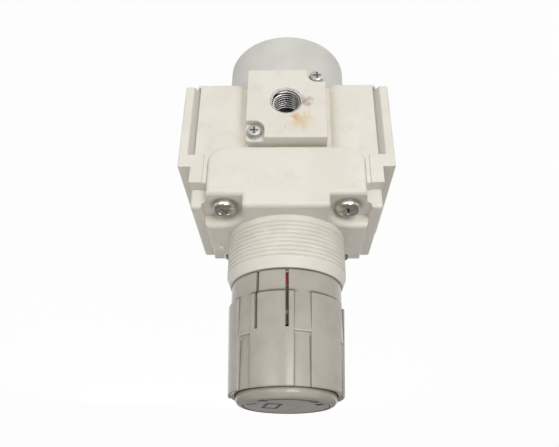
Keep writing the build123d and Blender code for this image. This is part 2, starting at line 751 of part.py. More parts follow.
with BuildPart() as indicator_ring:
    revolve(turned((ring_inner, ring_bottom), (tube_radius + ring_proud, ring_bottom),
                   (tube_radius + ring_proud, ring_bottom + ring_height),
                   (ring_inner, ring_bottom + ring_height)), axis=Axis.Z)
indicator_ring.part.label = "indicator_ring"
export_step(indicator_ring.part, "parts/indicator_ring.step")

with BuildPart() as bonnet_screws:
    with Locations(*[Location((x, y, notch_floor), (0, 0, turn))
                     for (x, y), turn in zip(large_screws, recess_turns)]):
        add(pan_screw(large_head_radius, large_head_height, large_crown_radius, large_shank_radius,
                      large_length))
bonnet_screws.part.label = "bonnet_screws"
export_step(bonnet_screws.part, "parts/bonnet_screws.step")

# ---------------------------------------------------------------- main spring and its adjustment
with BuildPart() as main_spring:
    with Locations((0, 0, upper_plate_top)):
        add(coil_spring(main_spring_radius, main_spring_wire, main_spring_turns,
                        nut_seat - upper_plate_top))
main_spring.part.label = "main_spring"
export_step(main_spring.part, "parts/main_spring.step")

with BuildPart() as spring_nut:
    with BuildSketch(Plane.XY.offset(nut_seat)):
        Circle(tube_bore_radius - slack)
        with PolarLocations(0, key_count):
            Rectangle(key_slot_radius - seating, key_width, align=(Align.MIN, Align.CENTER))
    extrude(amount=nut_thickness)
    with BuildSketch(Plane.XY.offset(nut_seat)):
        Circle(nut_hub_radius)
    extrude(amount=-nut_hub_height)
    Cylinder(screw_radius + running, knob_top * 2, mode=Mode.SUBTRACT)
spring_nut.part.label = "spring_nut"
export_step(spring_nut.part, "parts/spring_nut.step")

with BuildPart() as adjusting_screw:
    revolve(turned((0, screw_bottom), (screw_radius - screw_chamfer, screw_bottom),
                   (screw_radius, screw_bottom + screw_chamfer), (screw_radius, collar_bottom),
                   (collar_radius, collar_bottom), (collar_radius, collar_top), (screw_radius, collar_top),
                   (screw_radius, tube_top), (0, tube_top)), axis=Axis.Z)
    with BuildSketch(Plane.XY.offset(tube_top)):
        RegularPolygon(hex_flats / 2, 6, major_radius=False)
    extrude(amount=hex_length)
    chamfer(adjusting_screw.faces().sort_by(Axis.Z)[-1].edges(), hex_chamfer)
adjusting_screw.part.label = "adjusting_screw"
export_step(adjusting_screw.part, "parts/adjusting_screw.step")

with BuildPart() as thrust_washer:
    with BuildSketch(Plane.XY.offset(tube_ceiling - washer_thickness)):
        Circle(collar_radius + washer_overhang)
        Circle(screw_radius + running, mode=Mode.SUBTRACT)
    extrude(amount=washer_thickness)
thrust_washer.part.label = "thrust_washer"
export_step(thrust_washer.part, "parts/thrust_washer.step")

# ---------------------------------------------------------------- knob
grip_start = knob_bottom + knob_collar_height
shallow_end = knob_bottom + shallow_flute_top
flute_half = flute_angle / 2
grip_end_z = knob_bottom + grip_end
line_outer = shoulder_radius + end_line_width
line_z = grip_end_z - end_dish
knob_inner_radius = deep_flute_radius - knob_wall


def flute_section(floor_radius):
    """The six flutes in plan, from their floor outward."""
    reach = 2 * grip_radius * cos(radians(flute_half))
    spread = 2 * grip_radius * sin(radians(flute_half))
    with BuildSketch() as section:
        with PolarLocations(0, flute_count, start_angle=first_flute):
            Polygon((0, 0), (reach, -spread), (reach, spread), align=None)
        Circle(floor_radius, mode=Mode.SUBTRACT)
    return section.sketch


with BuildPart() as knob:
    revolve(turned((0, knob_bottom), (knob_collar_radius, knob_bottom), (knob_collar_radius, grip_start),
                   (grip_radius, grip_start), (grip_end_radius, grip_end_z),
                   (line_outer, line_z), (line_outer, line_z - end_line_depth),
                   (shoulder_radius, line_z - end_line_depth), (shoulder_radius, knob_top),
                   (0, knob_top)), axis=Axis.Z)
    fillet(knob.edges().filter_by(GeomType.CIRCLE).sort_by(Axis.Z)[-1], end_round)
    # flutes: flush with the collar first, then a deeper floor
    with BuildSketch(Plane.XY.offset(grip_start)):
        add(flute_section(knob_collar_radius))
    extrude(amount=shallow_end - grip_start, mode=Mode.SUBTRACT)
    with BuildSketch(Plane.XY.offset(shallow_end)):
        add(flute_section(deep_flute_radius))
    extrude(amount=grip_end - shallow_flute_top, mode=Mode.SUBTRACT)
    # soft edges on the lobes
    lobe_height = grip_end_z - grip_start
    lobe_edges = [edge for edge in knob.edges().filter_by(GeomType.LINE)
                  if abs(edge.length - lobe_height) < lobe_edge]
    for level, least_radius in ((grip_start, knob_collar_radius), (grip_end_z, deep_flute_radius)):
        arcs = knob.edges().filter_by(GeomType.CIRCLE).filter_by_position(Axis.Z, level, level)
        lobe_edges += [arc for arc in arcs if arc.radius > least_radius + lobe_edge]
    fillet(lobe_edges, lobe_edge)
    # inside: a bore round the tube, a hub on the hexagon
    revolve(turned((0, knob_bottom), (knob_bore_radius, knob_bottom), (knob_bore_radius, shallow_end),
                   (knob_inner_radius, shallow_end), (knob_inner_radius, knob_ceiling),
                   (knob_hub_radius, knob_ceiling), (knob_hub_radius, hub_bottom), (0, hub_bottom)),
            axis=Axis.Z, mode=Mode.SUBTRACT)
    with BuildSketch(Plane.XY.offset(hub_bottom)):
        RegularPolygon(hex_flats / 2 + hex_clearance, 6, major_radius=False)
    extrude(amount=hex_length + hex_end_gap, mode=Mode.SUBTRACT)
    with BuildSketch(Plane.XY.offset(knob_ceiling)):
        with PolarLocations(0, flute_count, start_angle=first_finger):
            with Locations(((knob_hub_radius + knob_inner_radius) / 2, 0)):
                Rectangle(knob_inner_radius - knob_hub_radius + past, rib_thickness)
    extrude(amount=-rib_height)
    # slits on both sides of each snap finger
    with BuildSketch(Plane.XY.offset(knob_bottom)):
        for finger in range(finger_count):
            middle = first_finger + finger * 360 / finger_count
            with PolarLocations(0, 2, start_angle=middle - finger_angle / 2,
                                angular_range=finger_angle, endpoint=True):
                with Locations((knob_bore_radius, 0)):
                    Rectangle(2 * (grip_radius - knob_bore_radius + past), slit_width)
    extrude(amount=slit_height, mode=Mode.SUBTRACT)
    # seat for the cap disc
    with Locations((0, 0, knob_top)):
        Cylinder(cap_disc_radius + cap_disc_gap, cap_disc_thickness,
                 align=(Align.CENTER, Align.CENTER, Align.MAX), mode=Mode.SUBTRACT)
knob.part.label = "knob"
export_step(knob.part, "parts/knob.step")

with BuildPart() as knob_cap:
    with BuildSketch(Plane.XY.offset(knob_top - cap_disc_thickness)):
        Circle(cap_disc_radius)
    extrude(amount=cap_disc_thickness)
    fillet(knob_cap.edges().filter_by(GeomType.CIRCLE).sort_by(Axis.Z)[-1], cap_disc_edge)
knob_cap.part.label = "knob_cap"
export_step(knob_cap.part, "parts/knob_cap.step")

# ---------------------------------------------------------------- gauge port plate
ear_reach = small_head_radius + ear_margin
plate_ring_wire = plate_groove_depth / 2 - running / 2
plate_groove_y = pad_y - plate_spigot_length / 2


def plate_outline():
    """The plate's outline on a front plane, with a lobe about the lower screw."""
    with BuildSketch() as outline:
        with Locations((0, plate_lower_edge)):
            Rectangle(plate_width, plate_height, align=(Align.CENTER, Align.MIN))
        fillet(outline.vertices().group_by(Axis.Y)[-1].sort_by(Axis.X)[-1], plate_corner)
        with Locations((-plate_width / 2, plate_lower_edge)):
            Rectangle(small_inset, small_screws[0][1] - plate_lower_edge, align=(Align.MIN, Align.MIN),
                      mode=Mode.SUBTRACT)
        with Locations(small_screws[0]):
            Circle(small_inset)
    return outline.sketch


with BuildPart() as gauge_port_plate:
    with BuildSketch(front(pad_y)):
        add(plate_outline())
    extrude(amount=plate_ear_thickness)
    with BuildSketch(front(pad_y + plate_ear_thickness)):
        add(plate_outline())
        for sign, (x, z) in zip((-1, 1), small_screws):
            with BuildSketch(mode=Mode.SUBTRACT) as lowered:
                with Locations((x + sign * (plate_width - ear_reach) / 2,
                                z + sign * (plate_width - ear_reach) / 2)):
                    Rectangle(plate_width + ear_reach, plate_width + ear_reach)
                corner = lowered.vertices().sort_by_distance((0, gauge_axis, 0))[0]
                fillet(corner, ear_reach)
    extrude(amount=plate_thickness - plate_ear_thickness)
    fillet(gauge_port_plate.faces().sort_by(Axis.Y)[0].edges(), plate_edge)
    with BuildSketch(front(pad_y)):
        with Locations((0, gauge_axis)):
            Circle(plate_spigot_radius)
    extrude(amount=-plate_spigot_length)
    # groove for the seal on the spigot
    with BuildSketch(front(plate_groove_y + plate_ring_wire + seating)):
        with Locations((0, gauge_axis)):
            Circle(plate_width / 2)
            Circle(plate_spigot_radius - plate_groove_depth, mode=Mode.SUBTRACT)
    extrude(amount=-2 * (plate_ring_wire + seating), mode=Mode.SUBTRACT)
    # threaded port with a chamfered mouth
    with BuildSketch(front(plate_y)):
        with Locations((0, gauge_axis)):
            Circle(gauge_port_radius)
    extrude(amount=-(plate_thickness + plate_spigot_length), mode=Mode.SUBTRACT)
    front_circles = gauge_port_plate.edges().filter_by(GeomType.CIRCLE).group_by(Axis.Y)[0]
    chamfer(front_circles.sort_by(SortBy.LENGTH)[-1], gauge_port_chamfer)
    with BuildSketch(front(pad_y)):
        with Locations(*small_screws):
            Circle(small_shank_radius + slack)
    extrude(amount=plate_thickness, mode=Mode.SUBTRACT)
gauge_port_plate.part.label = "gauge_port_plate"
export_step(gauge_port_plate.part, "parts/gauge_port_plate.step")

with BuildPart() as gauge_plate_o_ring:
    with Locations(Plane(origin=(0, -plate_groove_y, gauge_axis), z_dir=(0, -1, 0))):
        add(o_ring(plate_spigot_radius - plate_groove_depth + plate_ring_wire + running / 2,
                   plate_ring_wire))
gauge_plate_o_ring.part.label = "gauge_plate_o_ring"
export_step(gauge_plate_o_ring.part, "parts/gauge_plate_o_ring.step")

with BuildPart() as gauge_plate_screws:
    with Locations(*[Plane(origin=(x, -pad_y - plate_ear_thickness, z), z_dir=(0, -1, 0))
                     for x, z in small_screws]):
        add(pan_screw(small_head_radius, small_head_height, small_crown_radius, small_shank_radius,
                      small_length))
gauge_plate_screws.part.label = "gauge_plate_screws"
export_step(gauge_plate_screws.part, "parts/gauge_plate_screws.step")

with BuildPart() as back_port_plug:
    with BuildSketch(front(-(pad_y - back_port_depth + seating))):
        with Locations((0, port_axis)):
            Circle(gauge_port_radius - running)
    extrude(amount=-plug_length)
    with BuildSketch(front(-(pad_y - back_port_depth + seating + plug_length))):
        with Locations((0, port_axis)):
            RegularPolygon(plug_socket / 2, 6, major_radius=False)
    extrude(amount=plug_socket_depth, mode=Mode.SUBTRACT)
back_port_plug.part.label = "back_port_plug"
export_step(back_port_plug.part, "parts/back_port_plug.step")
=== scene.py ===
import json
import math

import bmesh
import bpy
from mathutils import Matrix, Vector


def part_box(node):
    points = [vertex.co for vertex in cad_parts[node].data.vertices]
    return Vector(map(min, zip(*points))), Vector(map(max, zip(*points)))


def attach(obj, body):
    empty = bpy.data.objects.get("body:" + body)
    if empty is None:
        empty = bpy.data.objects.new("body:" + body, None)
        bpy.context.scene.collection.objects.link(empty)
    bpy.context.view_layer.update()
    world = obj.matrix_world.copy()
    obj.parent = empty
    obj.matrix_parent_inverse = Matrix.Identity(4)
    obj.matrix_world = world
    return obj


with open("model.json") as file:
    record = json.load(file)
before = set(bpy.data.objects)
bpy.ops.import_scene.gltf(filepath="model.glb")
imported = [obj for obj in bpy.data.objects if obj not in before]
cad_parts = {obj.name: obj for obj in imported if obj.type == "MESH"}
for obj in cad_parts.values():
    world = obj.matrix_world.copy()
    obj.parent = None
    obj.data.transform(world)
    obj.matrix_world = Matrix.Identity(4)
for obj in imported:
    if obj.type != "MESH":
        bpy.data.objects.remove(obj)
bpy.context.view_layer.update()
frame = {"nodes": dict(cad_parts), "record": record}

nodes = frame["nodes"]
scene = bpy.context.scene

# ---------------------------------------------------------------- places, from the frame
MM = 0.001                        # the record gives bores in millimetres
mounts = {mount["name"]: mount for mount in frame["record"]["mounts"]}
hole = Vector(mounts["gauge_port"]["pos_m"])
thread_foot = mounts["panel_thread"]["pos_m"][2]
plate_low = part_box("gauge_port_plate")[0]
body_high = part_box("body")[1]
knob_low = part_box("knob")[0]
screws_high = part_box("bonnet_screws")[1]
disc_low, disc_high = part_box("knob_cap")
SCREW_SEAT = 0.0749               # the level that the bonnet's screw heads sit on
BLOCK_TOP = 0.0796                # the top of the bonnet's square block

# ---------------------------------------------------------------- camera
SENSOR_WIDTH = 36.0
FOCAL_SHARE = 0.97603             # focal length over the picture's width
TILT, YAW, ROLL = math.radians(28.08), math.radians(1.29), math.radians(0.56)
EYE = Vector((-0.00137, -0.1807, 0.1684))


def camera_matrix():
    """The view from in front and above, turned so that the knob points down."""
    c, s = math.cos(TILT), math.sin(TILT)
    look = Matrix(((1, 0, 0), (0, -s, c), (0, -c, -s)))
    turn = Matrix.Rotation(YAW, 3, "Z")
    bank = Matrix.Rotation(ROLL, 3, "Z")
    right, down, ahead = bank @ look @ turn
    columns = [Vector((-v.x, -v.y, v.z)) for v in (right, -down, -ahead)]
    return Matrix.Translation(EYE) @ Matrix(columns).transposed().to_4x4()


camera_data = bpy.data.cameras.new("camera")
camera_data.sensor_width = SENSOR_WIDTH
camera_data.lens = SENSOR_WIDTH * FOCAL_SHARE
camera_data.clip_start = 0.01
camera = bpy.data.objects.new("camera", camera_data)
scene.collection.objects.link(camera)
camera.matrix_world = camera_matrix()
scene.camera = camera

# ---------------------------------------------------------------- node trees
AROUND_Y, AROUND_Z = (1, 0, 1), (1, 1, 0)


class Graph:
    """A node tree, with short ways to add nodes and to link them."""

    def __init__(self, tree):
        self.tree = tree

    def add(self, kind, inputs=None, **settings):
        """A node with its settings, and its inputs set or linked by name or number."""
        node = self.tree.nodes.new(kind)
        for key, value in settings.items():
            setattr(node, key, value)
        for key, value in (inputs or {}).items():
            self.put(node.inputs[key], value)
        return node

    def put(self, socket, value):
        """An output is linked to the socket. A number, a vector or a colour is set on it."""
        if isinstance(value, bpy.types.NodeSocket):
            self.tree.links.new(value, socket)
        elif isinstance(value, tuple) and len(socket.default_value) == 4:
            socket.default_value = (*value, 1.0)
        else:
            socket.default_value = value

    def math(self, operation, a, b=0.0):
        return self.add("ShaderNodeMath", {0: a, 1: b}, operation=operation).outputs["Value"]

    def times(self, product, *others):
        for other in others:
            product = self.math("MULTIPLY", product, other)
        return product

    def scale(self, value, low, high, from_low=0.0, from_high=1.0, shape="LINEAR"):
        """low where the value is from_low, high where it is from_high, and nothing beyond them."""
        node = self.add("ShaderNodeMapRange", {
            "Value": value, "From Min": from_low, "From Max": from_high,
            "To Min": low, "To Max": high,
        }, interpolation_type=shape)
        return node.outputs["Result"]

    def ramp(self, value, zero, one):
        """0 at zero and 1 at one, smooth between them. zero may be the larger of the two."""
        return self.scale(value, 0.0, 1.0, zero, one, shape="SMOOTHSTEP")

    def between(self, value, low, high):
        return self.times(self.math("GREATER_THAN", value, low), self.math("LESS_THAN", value, high))

    def mix(self, factor, a, b):
        node = self.add("ShaderNodeMix", {"Factor": factor, "A": a, "B": b}, data_type="RGBA")
        return node.outputs["Result"]


class Surface(Graph):
    """One Principled material in metres. Its colour is laid down first and painted over in turns."""

    def __init__(self, name, metallic=0.0):
        self.material = bpy.data.materials.new(name)
        self.material.use_nodes = True
        super().__init__(self.material.node_tree)
        self.shader = self.tree.nodes["Principled BSDF"]
        self.put(self.shader.inputs["Metallic"], metallic)
        self.place = self.add("ShaderNodeTexCoord").outputs["Object"]

    def noise(self, size, detail=2.0, rough=0.5, stretch=None):
        """Noise between about 0.3 and 0.7, its features about size wide."""
        place = self.place
        if stretch:
            place = self.add("ShaderNodeMapping", {"Vector": place, "Scale": stretch}).outputs["Vector"]
        node = self.add("ShaderNodeTexNoise", {
            "Vector": place, "Scale": 1.0 / size, "Detail": detail, "Roughness": rough,
        })
        return node.outputs["Fac"]

    def crevice(self, reach):
        """1 in corners and gaps, 0 on open faces."""
        node = self.add("ShaderNodeAmbientOcclusion", {"Distance": reach}, samples=8)
        return self.scale(node.outputs["AO"], 1.0, 0.0)

    def along(self, axis):
        return self.add("ShaderNodeSeparateXYZ", {"Vector": self.place}).outputs[axis]

    def off(self, value, level):
        """How far a value is from a level, either way."""
        return self.math("ABSOLUTE", self.math("SUBTRACT", value, level))

    def away(self, point, keep=(1, 1, 1), place=None):
        """Distance from a point, or from a line through it where keep is 0 along the line."""
        place = self.place if place is None else place
        flat = self.add("ShaderNodeVectorMath", {0: place, 1: keep}, operation="MULTIPLY")
        kept = tuple(a * b for a, b in zip(point, keep))
        node = self.add("ShaderNodeVectorMath", {0: flat.outputs["Vector"], 1: kept}, operation="DISTANCE")
        return node.outputs["Value"]

    def lay(self, broad, zero, one, first, second):
        """The ground: two colours in patches."""
        self.broad = broad
        self.colour = self.mix(self.ramp(broad, zero, one), first, second)

    def cover(self, where, tint, share=1.0):
        """Paint a colour over the ground where a mask is 1, so that share of it shows."""
        self.colour = self.mix(self.times(where, share), self.colour, tint)

    # Painted shade: how much darker corners and gaps are made, kept as self.corners.
    def note_corner_shade(self, reach, zero, one, share):
        self.corners = self.times(self.ramp(self.crevice(reach), zero, one), share)

    def spare_corner_shade(self, where, share):
        """Leave that share of the painted corner shade out where a mask is 1."""
        self.corners = self.times(self.corners, self.math("SUBTRACT", 1.0, self.times(where, share)))

    def patchy(self, low, high):
        """A value that goes from low to high with the ground's patches."""
        return self.scale(self.broad, low, high, 0.3, 0.7)

    def finish(self, roughness, bumps=(), edge=0.0):
        """bumps are (value, depth) pairs, and edge is the radius of soft edges."""
        inputs = self.shader.inputs
        self.put(inputs["Base Color"], self.colour)
        self.put(inputs["Roughness"], roughness)
        normal = None
        if edge:
            normal = self.add("ShaderNodeBevel", {"Radius": edge}, samples=6).outputs["Normal"]
        for value, depth in bumps:
            bump = self.add("ShaderNodeBump", {"Strength": 1.0, "Distance": depth, "Height": value})
            if normal:
                self.put(bump.inputs["Normal"], normal)
            normal = bump.outputs["Normal"]
        if normal:
            self.put(inputs["Normal"], normal)
        return self.material


# A darker or lighter copy of a colour, for painted shade and painted highlight.
def painted_tone(colour, share):
    return tuple(share * c for c in colour)


# ---------------------------------------------------------------- enamel on the castings
LIP_WIDTH = 0.00303               # from the port's face to the clamp groove's floor
GROOVE_WIDTH = 0.00262
GROOVE_FOOT, GROOVE_TOP = 0.0279, 0.0583
GROOVE_FRONT = 0.02515            # a groove's floor is no further out than this, front and back
PASSAGE_RADIUS = 0.0078
PASSAGE_START = 0.006             # behind the plate's face
TUBE_RADIUS = 0.0172              # the neck's plain tube, inside the knob
TUBE_START, TUBE_BAND = 0.0047, 0.0135        # above the knob's lower end
HEAD_RADIUS = 0.0042
RIM_RADIUS = 0.0059
DARK_EDGE_FROM, DARK_EDGE_TO = 0.0040, 0.0125
STAINS = (                        # across and up from the gauge port, reach, colour, strength
    (-0.0050, 0.0088, 0.0074, (0.70, 0.48, 0.22), 0.66),
    (-0.0068, 0.0002, 0.0046, (0.32, 0.22, 0.17), 0.90),
    (-0.0030, 0.0072, 0.0024, (0.62, 0.26, 0.16), 0.62),
    (0.0005, 0.0070, 0.0040, (0.66, 0.66, 0.42), 0.40),
)


class Enamel(Surface):
    """Warm off-white enamel over die-cast metal."""

    def __init__(self, name):
        super().__init__(name)
        self.lay(self.noise(0.018, 3.0), 0.35, 0.65, (0.775, 0.738, 0.652), (0.815, 0.780, 0.704))
        self.cover(self.ramp(self.noise(0.006, 5.0, 0.6), 0.50, 0.74), (0.52, 0.49, 0.41), 0.20)
        # how much painted shade the enamel's corners get
        self.note_corner_shade(0.0018, 0.25, 0.95, 0.42)

    def shade_corners_and_chip(self):
        """Painted shade in the corners, and small chips in patches."""
        self.cover(self.corners, (0.36, 0.33, 0.26))
        chips = self.times(self.ramp(self.noise(0.0009, 2.0, 0.7), 0.70, 0.76),
                           self.ramp(self.noise(0.009, 1.0), 0.48, 0.62))
        self.cover(chips, (0.20, 0.17, 0.12), 0.5)

    def shade_grooves(self):
        """Painted shade on the floors of the clamp grooves, even across them."""
        outer = body_high.x - LIP_WIDTH
        groove = self.times(
            self.between(self.math("ABSOLUTE", self.along("X")), outer - GROOVE_WIDTH, outer),
            self.math("LESS_THAN", self.math("ABSOLUTE", self.along("Y")), GROOVE_FRONT),
            self.between(self.along("Z"), GROOVE_FOOT, GROOVE_TOP))
        self.spare_corner_shade(groove, 0.7)
        self.cover(groove, (0.680, 0.650, 0.592))

    def darken_passage(self):
        """Painted shade in the gauge passage behind its plate."""
        depth = self.along("Y")
        front = plate_low.y + PASSAGE_START
        inside = self.times(self.math("LESS_THAN", self.away(hole, AROUND_Y), PASSAGE_RADIUS),
                            self.ramp(depth, front, front + 0.001),
                            self.math("LESS_THAN", depth, 0.0))
        self.cover(inside, (0.035, 0.030, 0.025), 0.95)

    def darken_tube(self):
        """The tube seen through the knob's slits is painted dark as shade, with one paler, still shaded
        band round it where a lock ring stands.
        """
        height = self.along("Z")
        tube = self.times(self.math("LESS_THAN", self.away((0, 0, 0), AROUND_Z), TUBE_RADIUS),
                          self.math("GREATER_THAN", height, knob_low.z + TUBE_START))
        band = self.ramp(self.off(height, knob_low.z + TUBE_BAND), 0.0008, 0.0004)
        self.cover(tube, self.mix(band, (0.115, 0.105, 0.092), (0.46, 0.43, 0.37)), 0.95)

    def shade_screws(self):
        """Painted shade round the bonnet's four screw heads, which stand in the same place in each
        quarter.
        """
        quarter = self.add("ShaderNodeVectorMath", {0: self.place}, operation="ABSOLUTE")
        head = (screws_high.x - HEAD_RADIUS, screws_high.y - HEAD_RADIUS, 0)
        gap = self.away(head, AROUND_Z, quarter.outputs["Vector"])
        shade = self.times(self.ramp(gap, HEAD_RADIUS + 0.0020, HEAD_RADIUS - 0.0004),
                           self.ramp(self.along("Z"), SCREW_SEAT + 0.0026, SCREW_SEAT + 0.0002))
        self.cover(shade, (0.26, 0.235, 0.19), 0.60)

    def stain(self, across, up, reach, tint, strength):
        """A patch with wispy edges on the gauge plate."""
        centre = (hole.x + across, plate_low.y, hole.z + up)
        near = self.scale(self.away(centre), 1.0, 0.0, 0.0, reach)
        wisps = self.noise(0.0022, 5.0, 0.72, stretch=(1.0, 1.0, 0.7))
        patch = self.math("ADD", near, self.scale(wisps, -1.1, 1.1))
        self.cover(self.ramp(patch, 0.25, 1.05), tint, strength)

    def dark_edge_line(self):
        """A dark, broken line along the plate's lower edge."""
        across = self.along("X")
        line = self.times(self.ramp(self.along("Z"), plate_low.z + 0.0005, plate_low.z + 0.0002),
                          self.ramp(across, DARK_EDGE_FROM - 0.001, DARK_EDGE_FROM + 0.001),
                          self.ramp(across, DARK_EDGE_TO + 0.001, DARK_EDGE_TO - 0.001),
                          self.ramp(self.noise(0.0016, 2.0), 0.40, 0.50))
        self.cover(line, (0.22, 0.20, 0.17), 0.7)

    def bare_rim(self):
        """Machined metal round the gauge port, dull in patches and dark where the enamel starts."""
        ragged = self.scale(self.noise(0.0008, 4.0, 0.7), -0.00022, 0.00022)
        away = self.away(hole, AROUND_Y)
        machined = self.ramp(self.math("SUBTRACT", away, ragged), RIM_RADIUS + 0.0001, RIM_RADIUS - 0.0001)
        patches = self.ramp(self.noise(0.0007, 3.0, 0.7), 0.46, 0.66)
        metal_tint = self.mix(patches, (0.86, 0.84, 0.80), (0.48, 0.45, 0.41))
        outline = self.ramp(away, RIM_RADIUS - 0.0003, RIM_RADIUS - 0.0001)
        metal_tint = self.mix(self.times(outline, 0.75), metal_tint, (0.20, 0.18, 0.15))
        self.cover(machined, metal_tint)
        self.put(self.shader.inputs["Metallic"], self.times(machined, 0.35))

    def seal(self):
        """Orange peel and the casting's sand show through."""
        bumps = [(self.noise(0.0009, 1.0), 0.000035), (self.noise(0.00022, 1.0), 0.000008)]
        return self.finish(self.patchy(0.36, 0.50), bumps, edge=0.00028)


def body_enamel():
    s = Enamel("body_paint")
    # less painted corner shade above the panel thread's foot
    s.spare_corner_shade(s.ramp(s.along("Z"), thread_foot, thread_foot + 0.001), 0.6)
    s.shade_grooves()
    s.shade_corners_and_chip()
    s.darken_passage()
    s.darken_tube()
    s.shade_screws()
    return s.seal()


def plate_enamel():
    s = Enamel("gauge_plate_paint")
    s.shade_corners_and_chip()
    for stain in STAINS:
        s.stain(*stain)
    s.dark_edge_line()
    s.bare_rim()
    return s.seal()


# ---------------------------------------------------------------- plastic, metal and rubber
COLLAR_TOP = 0.0075               # the knob's levels, above its lower end
LEDGE = 0.0201                    # in each flute
CORE_RADIUS = 0.0192              # inside the knob's lobes
GAUGE_THREAD_DEPTH = 0.00068


class Moulded(Surface):
    """Moulded plastic with a fine grain, rubbed lighter and darker in patches."""

    def __init__(self, name, light, dark, rough, shade_share=0.5, reach=0.0012):
        super().__init__(name)
        self.rough = rough
        self.lay(self.noise(0.013, 4.0, 0.6), 0.35, 0.65, dark, light)
        # Painted shade in corners and gaps, as strong as the share given.
        self.note_corner_shade(reach, 0.10, 0.62, shade_share)

    def seal(self, depth=0.000006, edge=0.00025):
        grain = self.noise(0.00025, 1.0)
        return self.finish(self.patchy(self.rough * 0.8, self.rough * 1.25), [(grain, depth)], edge)


def moulded(name, light, dark, rough):
    s = Moulded(name, light, dark, rough)
    # Painted shade in the corners.
    s.cover(s.corners, painted_tone(dark, 0.12))
    return s.seal()


def knob_skin():
    """Glossy grey plastic with painted shade in its corners, kept off its lower end and its ledges, a
    painted shadow of the lobes on its collar, and a painted highlight along the ledges.
    """
    light, dark = (0.462, 0.432, 0.370), (0.410, 0.384, 0.328)
    s = Moulded("knob_plastic", light, dark, 0.17, shade_share=0.9, reach=0.0008)
    height = s.along("Z")
    collar = knob_low.z + COLLAR_TOP
    off_ledge = s.off(height, knob_low.z + LEDGE)
    s.corners = s.times(s.corners, s.ramp(height, knob_low.z + 0.0002, knob_low.z + 0.0010),
                        s.ramp(off_ledge, 0.0008, 0.0016))
    # Painted shadow of the lobes, on the collar just below them.
    lobe_shadow = s.times(s.ramp(s.crevice(0.0024), 0.02, 0.16), s.math("LESS_THAN", height, collar + 0.0001),
                    s.ramp(height, collar - 0.0013, collar - 0.0007), 0.85)
    s.cover(s.math("MAXIMUM", s.corners, lobe_shadow), painted_tone(dark, 0.12))
    # Painted highlight along the ledge in each flute.
    ledge = s.times(s.ramp(off_ledge, 0.0005, 0.0002),
                    s.ramp(s.away((0, 0, 0), AROUND_Z), CORE_RADIUS, CORE_RADIUS - 0.0001))
    s.cover(ledge, painted_tone(light, 1.5), 0.7)
    return s.seal(depth=0.000003, edge=0.0006)


def metal(name, light, dark, rough, metallic=1.0, shade_in_corners=0.6):
    """Bare or plated metal with fine tool marks, dull patches and painted shade in its corners."""
    s = Surface(name, metallic)
    s.lay(s.noise(0.0035, 4.0, 0.6), 0.35, 0.68, light, dark)
    s.note_corner_shade(0.0008, 0.3, 0.95, shade_in_corners)
    # Painted shade in the corners.
    s.cover(s.corners, painted_tone(dark, 0.25))
    marks = s.noise(0.0004, 2.0, 0.6)
    return s.finish(s.patchy(rough * 0.75, rough * 1.35), [(marks, 0.000008)], edge=0.0001)


def cut_thread():
    """The gauge port's thread: bright flanks, painted shade at the roots, the tips and the mouth, and
    tarnish with painted shade on one side.
    """
    s = Surface("cut_thread", metallic=0.85)
    wall, depth = mounts["gauge_port"]["dims"]["r_mm"] * MM, GAUGE_THREAD_DEPTH
    across = s.along("X")
    middle = s.ramp(s.off(across, hole.x), 0.0040, 0.0020)
    blotch = s.times(s.ramp(s.noise(0.0012, 3.0, 0.6), 0.42, 0.66), s.math("SUBTRACT", 1.0, middle))
    s.colour = s.mix(s.times(blotch, 0.6), (1.0, 0.98, 0.96), (0.40, 0.38, 0.37))
    # Tarnish and painted shade together, on one side of the hole.
    s.cover(s.ramp(across, hole.x - 0.0026, hole.x - 0.0036), (0.26, 0.19, 0.20), 0.8)
    # Painted shade on the first flank at the mouth.
    s.cover(s.ramp(s.along("Y"), plate_low.y + 0.0013, plate_low.y + 0.0010), (0.34, 0.33, 0.31))
    away = s.away(hole, AROUND_Y)
    # Painted shade at the thread's tips and roots.
    tip = s.ramp(away, wall - 0.90 * depth, wall - 0.96 * depth)
    root = s.ramp(away, wall - 0.45 * depth, wall - 0.35 * depth)
    s.cover(s.math("MAXIMUM", tip, root), (0.012, 0.010, 0.010))
    return s.finish(s.scale(blotch, 0.34, 0.46), edge=0.00004)


def rubber(name):
    s = Surface(name)
    s.lay(s.noise(0.004, 4.0, 0.6), 0.4, 0.7, (0.016, 0.016, 0.017), (0.040, 0.039, 0.037))
    return s.finish(0.7, [(s.noise(0.0003, 2.0), 0.00001)])


paint = body_enamel()
slot_materials = {
    "body_finish": paint,
    "cap_plastic": moulded("cap_plastic", (0.700, 0.692, 0.645), (0.645, 0.637, 0.592), 0.42),
    "knob_plastic": knob_skin(),
    "nickel_steel": metal("nickel_plate", (0.80, 0.78, 0.73), (0.60, 0.57, 0.50), 0.24),
    "black_rubber": rubber("black_rubber"),
    "brass": metal("brass", (0.78, 0.60, 0.28), (0.60, 0.43, 0.18), 0.28),
    "bare_aluminium": metal("bare_aluminium", (0.78, 0.79, 0.80), (0.62, 0.63, 0.64), 0.34),
    "spring_steel": metal("spring_steel", (0.56, 0.56, 0.57), (0.40, 0.40, 0.41), 0.34),
    "red_plastic": moulded("red_plastic", (0.62, 0.035, 0.020), (0.50, 0.025, 0.015), 0.35),
}
own_materials = {
    "gauge_port_plate": plate_enamel(),
    "gauge_plate_screws": metal("zinc_plate", (0.66, 0.65, 0.62), (0.44, 0.43, 0.41), 0.40,
                                metallic=0.8, shade_in_corners=0.0),
}
for part in frame["record"]["subparts"]:
    chosen = own_materials.get(part["node"], slot_materials[part["material_slot"]])
    for material_slot in nodes[part["node"]].material_slots:
        material_slot.material = chosen


